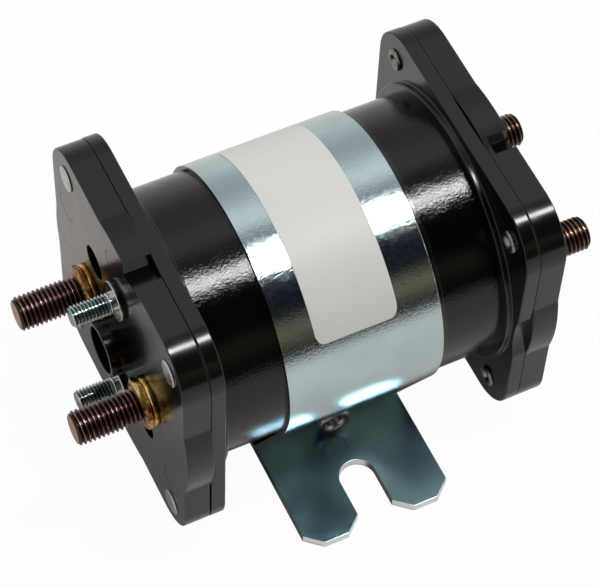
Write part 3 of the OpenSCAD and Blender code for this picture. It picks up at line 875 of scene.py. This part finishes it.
def label():
    """A thin sheet bent onto the strap, with rounded corners."""
    width, centre, corner = 19.4, -0.9, 1.9
    start, end, thick, lift = -49.0, 60.5, 0.12, 0.005
    half = (end - start) / 2
    reach = STRAP_R * math.sin(math.radians(half))
    left, right = centre - width / 2, centre + width / 2
    sheet = turned([
        (left, STRAP_R + lift), (left, STRAP_R + thick),
        (right, STRAP_R + thick), (right, STRAP_R + lift),
    ], 240, ring=True)
    outline = []
    mx, my = width / 2 - corner, reach - corner
    for first, sx, sy in ((0, 1, 1), (90, -1, 1), (180, -1, -1), (270, 1, -1)):
        for i in range(9):
            a = math.radians(first + 90 * i / 8)
            x = centre + sx * mx + corner * math.cos(a)
            outline.append((x, sy * my + corner * math.sin(a), 0))
    stamp = slab(outline, (0, 0, 40))
    combine(sheet, stamp, "INTERSECT")
    turn_round(sheet, "x", (start + end) / 2)
    soften(sheet, 0.04, 2, 50)
    return sheet


def both_ends(make, name, finish, node, slot):
    """Makes the far piece, and its mirrored twin for the near end."""
    far = make()
    near = twin(far)
    to_near_end(near)
    hand_over(far, "far_" + name, finish, "far_" + node, slot)
    hand_over(near, "near_" + name, finish, "near_" + node, slot)


def can_tube():
    inner = CAN_R - CAN_WALL
    return turned([
        (-HALF_CAN, inner), (-HALF_CAN, CAN_R), (HALF_CAN, CAN_R), (HALF_CAN, inner),
    ], 240, ring=True)


hand_over(can_tube(), "can_tube", enamel, "can", "black_steel")
hand_over(liner(), "liner_sleeve", sleeve, "liner", "dark_liner")
hand_over(strap(), "strap_band", strap_zinc, "strap", "zinc_bright")
hand_over(label(), "label_sheet", film, "label", "label_film")
hand_over(base_plate(), "slotted_plate", plate_zinc, "base_plate", "zinc_plate", smooth=25)
hand_over(cross_rivet(), "leg_rivet", rolled_steel, "cross_rivet", "rivet_metal")

for make, name, node in (
    (housing, "shell", "housing"), (inner_plate, "collar_plate", "inner_plate"),
):
    hand_over(make(False), "far_" + name, black_moulding, "far_" + node, "black_moulding")
    near_piece = make(True)
    to_near_end(near_piece)
    hand_over(near_piece, "near_" + name, black_moulding, "near_" + node, "black_moulding")
both_ends(end_rivets, "corner_rivets", rivet_steel, "rivets", "rivet_metal")
both_ends(jam_nuts, "thin_nuts", brass, "jam_nuts", "brass_nut")
both_ends(nut_washers, "round_washers", brass, "nut_washers", "brass_nut")
far_studs = main_studs()
near_studs = twin(far_studs)
turn_round(near_studs, "z", 180)
threads = {"smooth": 40, "level": False}
hand_over(far_studs, "far_main_threads", far_copper_painted_lighter, "far_main_studs", "copper_stud", **threads)
hand_over(near_studs, "near_main_threads", near_copper, "near_main_studs", "copper_stud", **threads)

small_studs = coil_studs()
turn_round(small_studs, "z", 180)
hand_over(small_studs, "coil_threads", stud_zinc, "coil_studs", "zinc_stud", **threads)
washers = disc_pair(DISC_TOP, WASHER_TOP, 4.7, 0.12)
hand_over(washers, "coil_washer_pair", washer_zinc, "coil_washers", "zinc_stud")
insulators = disc_pair(FACE_X, DISC_TOP, 3.9, 0.1)
hand_over(insulators, "coil_insulator_pair", fibre_black, "coil_insulators", "fibre")


# Finishes of the inner pieces that keep their own solids

iron = mottled(
    "turned_iron", (0.30, 0.30, 0.31), (0.50, 0.50, 0.51), 1.0, (0.28, 0.42), 200, 0.2, (6, 1, 1),
)
drawn_brass = mottled(
    "drawn_brass", (0.52, 0.36, 0.14), (0.72, 0.53, 0.24), 1.0, (0.18, 0.3), 160, 0.15, (0.2, 1, 1),
)
spring_wire = mottled(
    "spring_wire", (0.32, 0.32, 0.34), (0.52, 0.52, 0.54), 1.0, (0.2, 0.32), 500,
)
bar_copper = mottled(
    "bar_copper", (0.52, 0.25, 0.15), (0.74, 0.42, 0.28), 1.0, (0.22, 0.36), 240,
)
red_bush = mottled(
    "red_bush", (0.22, 0.035, 0.025), (0.34, 0.07, 0.045), 0.0, (0.3, 0.42), 500,
)
nylon = mottled(
    "natural_nylon", (0.62, 0.58, 0.48), (0.72, 0.69, 0.6), 0.0, (0.35, 0.5), 200,
)
yellow_tape = mottled(
    "yellow_tape", (0.55, 0.42, 0.07), (0.66, 0.53, 0.12), 0.0, (0.25, 0.35), 300,
)
winding = wound_wire()

for node, finish in (
    ("plate_rivets", rivet_steel), ("coil_leads", bar_copper), ("bobbin", nylon),
    ("winding", winding), ("winding_tape", yellow_tape), ("flux_washers", iron),
    ("guide_tube", drawn_brass), ("pole_piece", iron), ("plunger", iron),
    ("rod", drawn_brass), ("rod_clips", spring_wire),
    ("return_spring", spring_wire), ("near_bridge", bar_copper), ("far_bridge", bar_copper),
    ("near_bush", red_bush), ("far_bush", red_bush),
    ("near_contact_spring", spring_wire), ("far_contact_spring", spring_wire),
):
    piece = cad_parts[node]
    piece.data.materials.clear()
    piece.data.materials.append(finish)

# Each spring, which shortens toward its fixed end as the plunger and the bars move, gets a mesh of
# its own
for node, joint, fixed, travel in (
    ("return_spring", "plunger_slide", -0.008, 0.003),
    ("near_contact_spring", "near_bar_slide", -0.0289, 0.0006),
    ("far_contact_spring", "far_bar_slide", 0.0319, 0.0006),
):
    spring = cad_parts[node]
    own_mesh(spring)


# Floor, light and camera

def floor():
    """White to the camera; to the object it is a dull warm panel with a faint glow."""
    width, camera_glow, mirror_glow = 1.1, 0.96, 0.03
    pick_only(None)
    bpy.ops.mesh.primitive_plane_add(size=width, location=(0, 0, 0))
    ground = bpy.context.object
    ground.name = "pale_floor"
    material = bpy.data.materials.new("pale_floor")
    material.use_nodes = True
    tree = material.node_tree
    nodes, links = tree.nodes, tree.links
    nodes.clear()
    out = nodes.new("ShaderNodeOutputMaterial")
    matte = nodes.new("ShaderNodeBsdfDiffuse")
    matte.inputs["Color"].default_value = (0.72, 0.69, 0.66, 1)
    glow = nodes.new("ShaderNodeEmission")
    glow.inputs["Color"].default_value = (1, 1, 1, 1)
    path = nodes.new("ShaderNodeLightPath")
    seen = nodes.new("ShaderNodeMath")
    seen.operation = "MULTIPLY"
    seen.inputs[1].default_value = camera_glow
    links.new(path.outputs["Is Camera Ray"], seen.inputs[0])
    mirrored = nodes.new("ShaderNodeMath")
    mirrored.operation = "MAXIMUM"
    links.new(path.outputs["Is Glossy Ray"], mirrored.inputs[0])
    links.new(path.outputs["Is Transmission Ray"], mirrored.inputs[1])
    part = nodes.new("ShaderNodeMath")
    part.operation = "MULTIPLY_ADD"
    part.inputs[1].default_value = mirror_glow
    links.new(mirrored.outputs[0], part.inputs[0])
    links.new(seen.outputs[0], part.inputs[2])
    mix = nodes.new("ShaderNodeMixShader")
    links.new(part.outputs[0], mix.inputs[0])
    links.new(matte.outputs[0], mix.inputs[1])
    links.new(glow.outputs[0], mix.inputs[2])
    links.new(mix.outputs[0], out.inputs["Surface"])
    ground.data.materials.append(material)


def studio_sky():
    """Soft studio surround: pale behind, dark before the object, one warm strip low in front."""
    world = bpy.data.worlds.new("studio")
    bpy.context.scene.world = world
    world.use_nodes = True
    nodes, links = world.node_tree.nodes, world.node_tree.links
    nodes.clear()
    out = nodes.new("ShaderNodeOutputWorld")
    glow = nodes.new("ShaderNodeBackground")
    where = nodes.new("ShaderNodeTexCoord")
    parts = nodes.new("ShaderNodeSeparateXYZ")
    links.new(where.outputs["Generated"], parts.inputs[0])
    flip = nodes.new("ShaderNodeMath")
    flip.operation = "MULTIPLY"
    flip.inputs[1].default_value = -1
    links.new(parts.outputs["Y"], flip.inputs[0])
    turn = nodes.new("ShaderNodeMath")
    turn.operation = "ARCTAN2"
    links.new(flip.outputs[0], turn.inputs[0])
    links.new(parts.outputs["Z"], turn.inputs[1])
    scaled = nodes.new("ShaderNodeMapRange")
    scaled.inputs["From Min"].default_value = -math.pi
    scaled.inputs["From Max"].default_value = math.pi
    links.new(turn.outputs[0], scaled.inputs["Value"])
    ramp = nodes.new("ShaderNodeValToRGB")
    # Degrees from straight up, toward the front, and the brightness there
    stops = [
        (-96, (0.78, 0.79, 0.79)), (-78, (0.60, 0.61, 0.61)), (-62, (0.48, 0.48, 0.49)),
        (-46, (0.60, 0.60, 0.61)), (-32, (0.90, 0.91, 0.92)), (-22, (0.96, 0.96, 0.96)),
        (-15, (0.46, 0.47, 0.48)), (-6, (0.24, 0.24, 0.26)), (2, (0.2, 0.2, 0.22)),
        (20, (0.05, 0.05, 0.06)), (28, (0.012, 0.013, 0.022)), (60, (0.010, 0.010, 0.014)),
        (65, (0.22, 0.195, 0.13)), (74, (0.18, 0.155, 0.10)), (82, (0.07, 0.06, 0.042)),
        (90, (0.02, 0.02, 0.02)),
    ]
    points = ramp.color_ramp.elements
    while len(points) < len(stops):
        points.new(0.5)
    for point, (degrees, colour) in zip(points, stops):
        point.position = (degrees + 180) / 360
        point.color = (*colour, 1)
    links.new(scaled.outputs[0], ramp.inputs["Fac"])
    side = nodes.new("ShaderNodeMath")
    side.operation = "ABSOLUTE"
    links.new(parts.outputs["X"], side.inputs[0])
    outer = nodes.new("ShaderNodeMapRange")
    outer.interpolation_type = "SMOOTHSTEP"
    # Beyond these shares of X, toward the can's ends, the surround is pale all round
    outer.inputs["From Min"].default_value = 0.5
    outer.inputs["From Max"].default_value = 0.72
    links.new(side.outputs[0], outer.inputs["Value"])
    mix = nodes.new("ShaderNodeMix")
    mix.data_type = "RGBA"
    links.new(outer.outputs[0], mix.inputs["Factor"])
    colours = [s for s in mix.inputs if s.type == "RGBA"]
    links.new(ramp.outputs["Color"], colours[0])
    colours[1].default_value = (0.95, 0.95, 0.95, 1)
    seen = nodes.new("ShaderNodeLightPath")
    plain = nodes.new("ShaderNodeMix")
    plain.data_type = "RGBA"
    links.new(seen.outputs["Is Camera Ray"], plain.inputs["Factor"])
    plain_colours = [s for s in plain.inputs if s.type == "RGBA"]
    links.new([s for s in mix.outputs if s.type == "RGBA"][0], plain_colours[0])
    plain_colours[1].default_value = (1, 1, 1, 1)
    links.new([s for s in plain.outputs if s.type == "RGBA"][0], glow.inputs["Color"])
    links.new(glow.outputs[0], out.inputs["Surface"])


def softbox(name, aim, far, size, radiance):
    """A rectangular lamp at a distance along aim, facing the object."""
    lamp = bpy.data.lights.new(name, "AREA")
    lamp.shape = "RECTANGLE"
    lamp.size, lamp.size_y = size
    lamp.energy = radiance * math.pi * size[0] * size[1]
    holder = bpy.data.objects.new(name, lamp)
    bpy.context.collection.objects.link(holder)
    back = Vector(aim).normalized()
    right = Vector((1, 0, 0)) - back * back.x
    right.normalize()
    up = back.cross(right)
    turn = Matrix((right, up, back)).transposed().to_4x4()
    middle = Vector((0, 0, AXIS_HEIGHT * MM))
    holder.matrix_world = Matrix.Translation(middle + back * far) @ turn


def camera():
    """A long lens from the coil studs' side, over the strap's front."""
    place = (-0.154573, -0.289745, 0.529865)
    lens = bpy.data.cameras.new("camera")
    lens.lens = 158.18
    lens.sensor_width = 36
    lens.clip_start = 0.01
    lens.clip_end = 20
    holder = bpy.data.objects.new("camera", lens)
    bpy.context.collection.objects.link(holder)
    right = Vector((0.9019026, -0.43102752, 0.02805302))
    up = Vector((0.34544211, 0.75876062, 0.55222466))
    back = Vector((-0.25930955, -0.48836216, 0.83322323))
    turn = Matrix((right, up, back)).transposed().to_4x4()
    holder.matrix_world = Matrix.Translation(place) @ turn
    bpy.context.scene.camera = holder


floor()
studio_sky()
forward = math.radians(10)
tilt = math.radians(15)
softbox(
    "overhead_softbox",
    (math.sin(tilt), -math.sin(forward) * math.cos(tilt), math.cos(forward) * math.cos(tilt)),
    far=1.5, size=(0.62, 0.2), radiance=35,
)
camera()
bpy.context.scene.view_settings.view_transform = "Standard"
